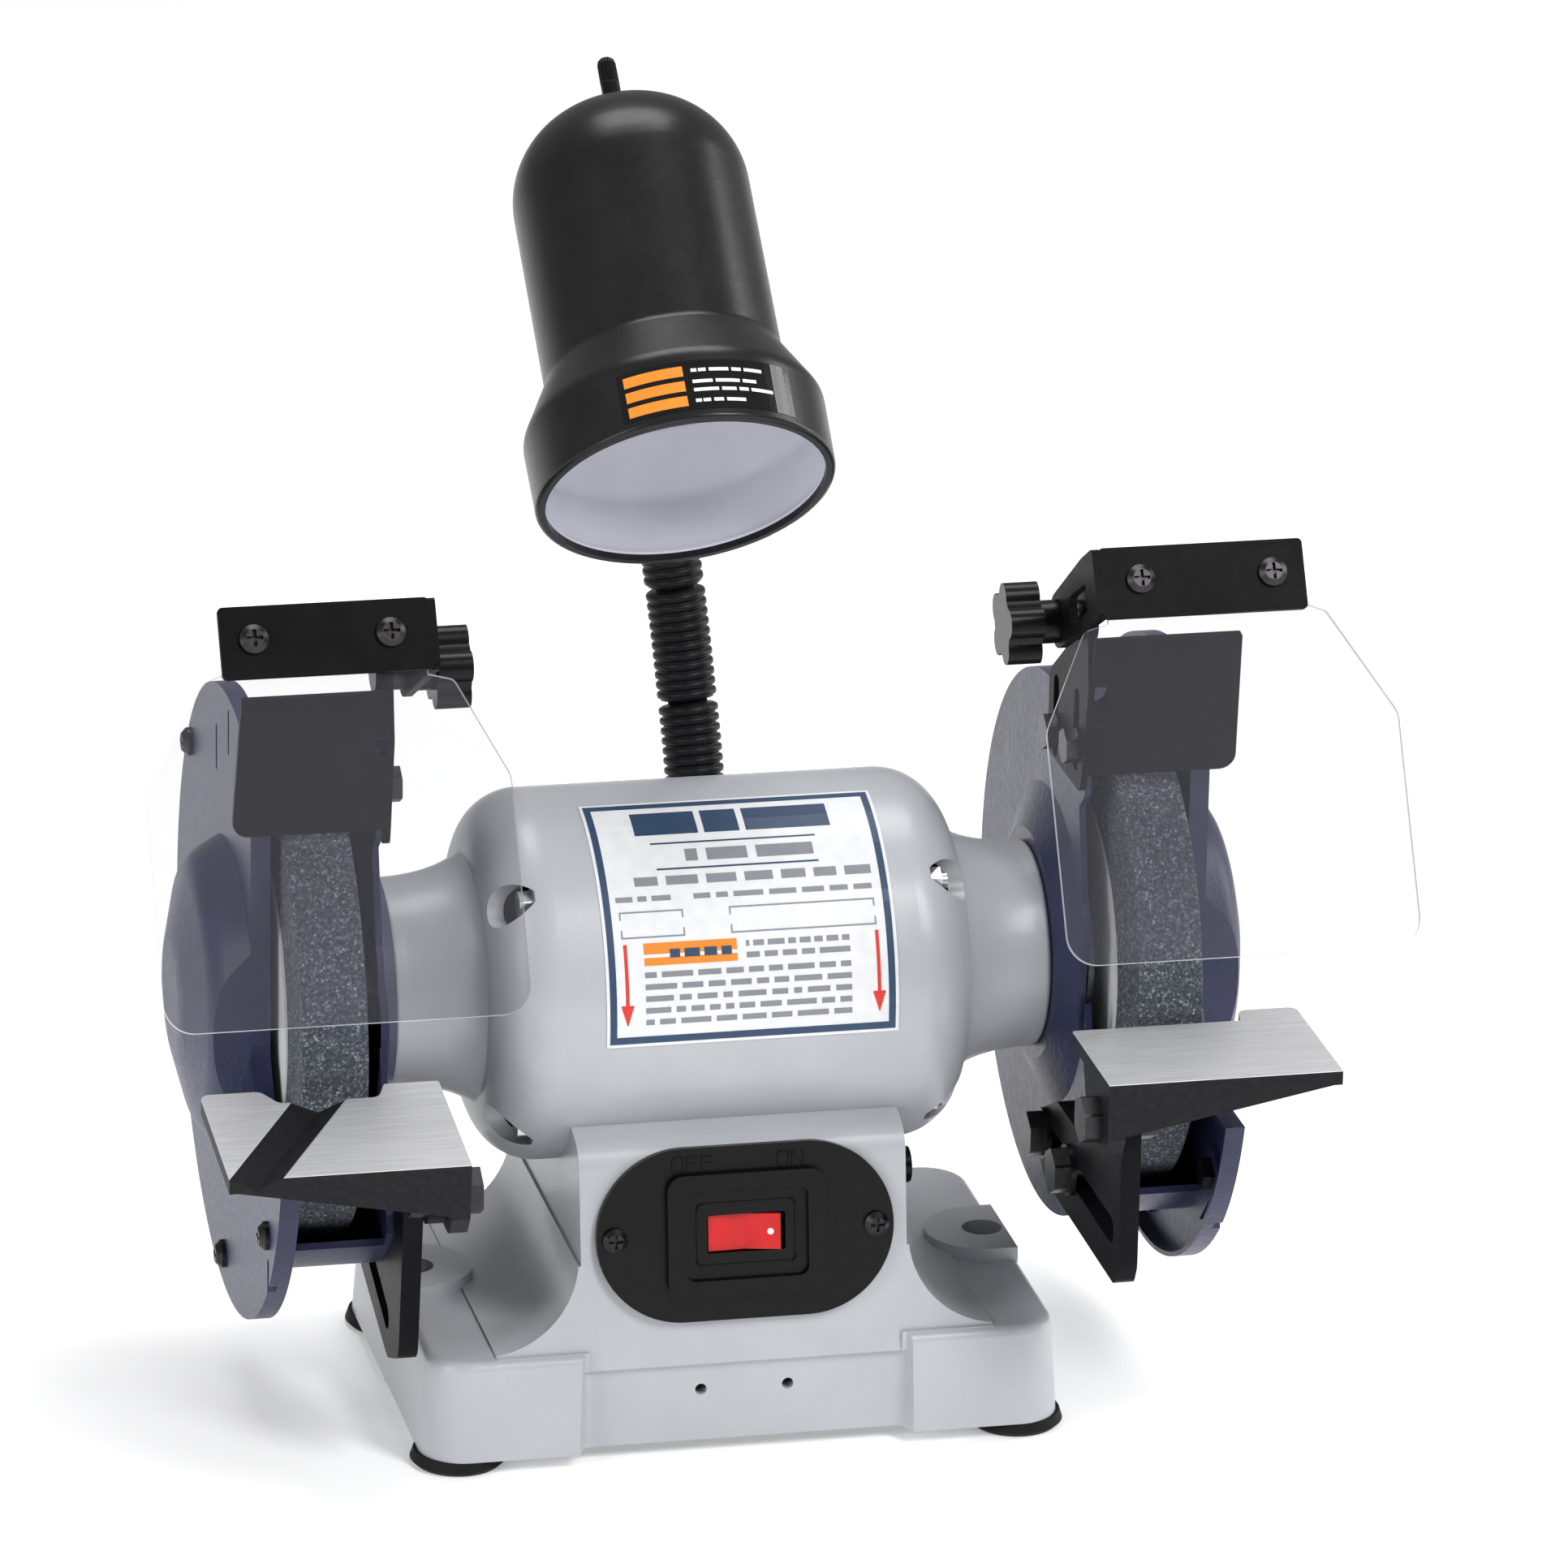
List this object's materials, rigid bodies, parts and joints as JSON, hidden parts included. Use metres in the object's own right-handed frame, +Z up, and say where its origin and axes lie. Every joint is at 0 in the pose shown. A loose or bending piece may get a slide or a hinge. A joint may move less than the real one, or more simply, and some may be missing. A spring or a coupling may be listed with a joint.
{
  "type": "bench grinder",
  "caption": "Two-wheel bench grinder with guards, clear eye shields, spark deflectors, adjustable tool rests and a gooseneck work lamp on a cast pedestal base.",
  "frame": {"origin": "on the bench plane, midway between the two bench-bolt holes, below the spindle", "axes": "+X along the spindle to the operator's right wheel, -Y towards the operator, +Z up"},
  "size_m": [0.377, 0.2415, 0.3949],
  "materials": {
    "cast_paint": "light cool grey paint, semi-gloss",
    "guard_paint": "dark navy wrinkle paint",
    "lamp_paint": "satin black paint outside, white inside",
    "black_bracket": "black powder-coated steel",
    "black_steel": "blackened",
    "rest_metal": "black cast body with a bright ground top face",
    "zinc_steel": "zinc plated",
    "machined_steel": "machined",
    "copper": "enamelled copper wire",
    "abrasive": "bonded abrasive grit, blue-grey",
    "paper": "printed paper",
    "black_plastic": "moulded black plastic",
    "red_plastic": "glossy red",
    "black_rubber": "rubber",
    "neck_black": "black flexible steel tube",
    "clear_lens": "clear polycarbonate",
    "white_plastic": "white moulded"
  },
  "bodies": {
    "housing": {"base_casting": "cast_paint", "motor_shell": "cast_paint", "right_end_bell": "cast_paint", "left_end_bell": "cast_paint", "right_inner_guard": "guard_paint", "left_inner_guard": "guard_paint", "right_outer_cover": "guard_paint", "left_outer_cover": "guard_paint", "deflector_bolts": "black_steel", "rest_arm_bolts": "black_steel", "switch_plate_screws": "black_steel", "guard_screws": "black_steel", "tie_bolts": "zinc_steel", "base_screws": "zinc_steel", "bearings": "zinc_steel", "bottom_cover": "zinc_steel", "stator_core": "machined_steel", "windings": "copper", "rating_label": "paper", "switch_plate": "black_plastic", "switch_housing": "black_plastic", "cord_gland": "black_plastic", "run_capacitor": "black_plastic", "rubber_feet": "black_rubber", "gooseneck_ferrule": "neck_black", "gooseneck_root": "neck_black"},
    "spindle": {"spindle_shaft": "machined_steel", "rotor": "machined_steel", "right_wheel": "abrasive", "left_wheel": "abrasive", "wheel_blotters": "paper", "wheel_flanges": "zinc_steel", "spindle_nuts": "zinc_steel"},
    "rocker": {"switch_rocker": "red_plastic"},
    "right_deflector_unit": {"right_deflector": "black_bracket", "right_shield_pivot": "black_steel"},
    "right_shield_unit": {"right_shield_bracket": "black_bracket", "right_eye_shield": "clear_lens", "right_shield_screws": "black_steel"},
    "right_knob": {"right_shield_knob": "black_plastic"},
    "right_arm_unit": {"right_rest_arm": "black_bracket", "right_pivot_bolt": "black_steel"},
    "right_rest_unit": {"right_tool_rest": "rest_metal"},
    "left_deflector_unit": {"left_deflector": "black_bracket", "left_shield_pivot": "black_steel"},
    "left_shield_unit": {"left_shield_bracket": "black_bracket", "left_eye_shield": "clear_lens", "left_shield_screws": "black_steel"},
    "left_knob": {"left_shield_knob": "black_plastic"},
    "left_arm_unit": {"left_rest_arm": "black_bracket", "left_pivot_bolt": "black_steel"},
    "left_rest_unit": {"left_tool_rest": "rest_metal"},
    "neck_link_1": {"gooseneck_1": "neck_black"},
    "neck_link_2": {"gooseneck_2": "neck_black"},
    "neck_link_3": {"gooseneck_3": "neck_black"},
    "lamp_head": {"gooseneck_4": "neck_black", "lamp_fittings": "zinc_steel", "lamp_shade": "lamp_paint", "lamp_socket": "white_plastic"},
    "lamp_switch": {"lamp_switch_stem": "black_plastic"}
  },
  "joints": [
    {"name": "spindle_spin", "type": "hinge", "parent": "housing", "child": "spindle", "pos_m": [0, 0, 0.134], "axis": [1, 0, 0], "continuous": true},
    {"name": "rocker_tip", "type": "hinge", "parent": "housing", "child": "rocker", "pos_m": [0, -0.06122, 0.07028], "axis": [0, 0.1478, 0.989], "range_deg": [0, 14]},
    {"name": "right_deflector_slide", "type": "slide", "parent": "housing", "child": "right_deflector_unit", "axis": [0, 0, 1], "range_m": [-0.006, 0.005]},
    {"name": "right_shield_tilt", "type": "hinge", "parent": "right_deflector_unit", "child": "right_shield_unit", "pos_m": [0.1, -0.037, 0.251], "axis": [1, 0, 0], "range_deg": [-40, 8]},
    {"name": "right_knob_turn", "type": "hinge", "parent": "right_deflector_unit", "child": "right_knob", "pos_m": [0.09, -0.037, 0.251], "axis": [1, 0, 0], "range_deg": [-180, 180]},
    {"name": "right_arm_slide", "type": "slide", "parent": "housing", "child": "right_arm_unit", "axis": [0, -1, 0], "range_m": [-0.0015, 0.004]},
    {"name": "right_rest_tilt", "type": "hinge", "parent": "right_arm_unit", "child": "right_rest_unit", "pos_m": [0.1, -0.1115, 0.119], "axis": [1, 0, 0], "range_deg": [-3, 15]},
    {"name": "left_deflector_slide", "type": "slide", "parent": "housing", "child": "left_deflector_unit", "axis": [0, 0, 1], "range_m": [-0.002, 0.009]},
    {"name": "left_shield_tilt", "type": "hinge", "parent": "left_deflector_unit", "child": "left_shield_unit", "pos_m": [-0.1, -0.037, 0.247], "axis": [1, 0, 0], "range_deg": [-40, 8]},
    {"name": "left_knob_turn", "type": "hinge", "parent": "left_deflector_unit", "child": "left_knob", "pos_m": [-0.09, -0.037, 0.247], "axis": [1, 0, 0], "range_deg": [-180, 180]},
    {"name": "left_arm_slide", "type": "slide", "parent": "housing", "child": "left_arm_unit", "axis": [0, -0.9524, -0.3048], "range_m": [-0.0025, 0.002]},
    {"name": "left_rest_tilt", "type": "hinge", "parent": "left_arm_unit", "child": "left_rest_unit", "pos_m": [-0.1, -0.1118, 0.1093], "axis": [1, 0, 0], "range_deg": [-8, 8]},
    {"name": "neck_bend_1", "type": "hinge", "parent": "housing", "child": "neck_link_1", "pos_m": [0.01361, 0.07798, 0.16], "axis": [1, 0, 0], "range_deg": [-10, 10]},
    {"name": "neck_bend_2", "type": "hinge", "parent": "neck_link_1", "child": "neck_link_2", "pos_m": [0.01152, 0.08615, 0.196], "axis": [0, 1, 0], "range_deg": [-4.5, 9]},
    {"name": "neck_bend_3", "type": "hinge", "parent": "neck_link_2", "child": "neck_link_3", "pos_m": [0.0078, 0.0915, 0.232], "axis": [1, 0, 0], "range_deg": [-10, 10]},
    {"name": "neck_bend_4", "type": "hinge", "parent": "neck_link_3", "child": "lamp_head", "pos_m": [0.00194, 0.0937, 0.268], "axis": [0, 1, 0], "range_deg": [-4.5, 9]},
    {"name": "lamp_switch_turn", "type": "hinge", "parent": "lamp_head", "child": "lamp_switch", "pos_m": [-0.01301, 0.08625, 0.38002], "axis": [-0.0227, 0.7264, 0.6869], "continuous": true}
  ],
  "couplings": [
    {"joint": "neck_bend_3", "follows": "neck_bend_1", "ratio": 1},
    {"joint": "neck_bend_4", "follows": "neck_bend_2", "ratio": 1}
  ]
}
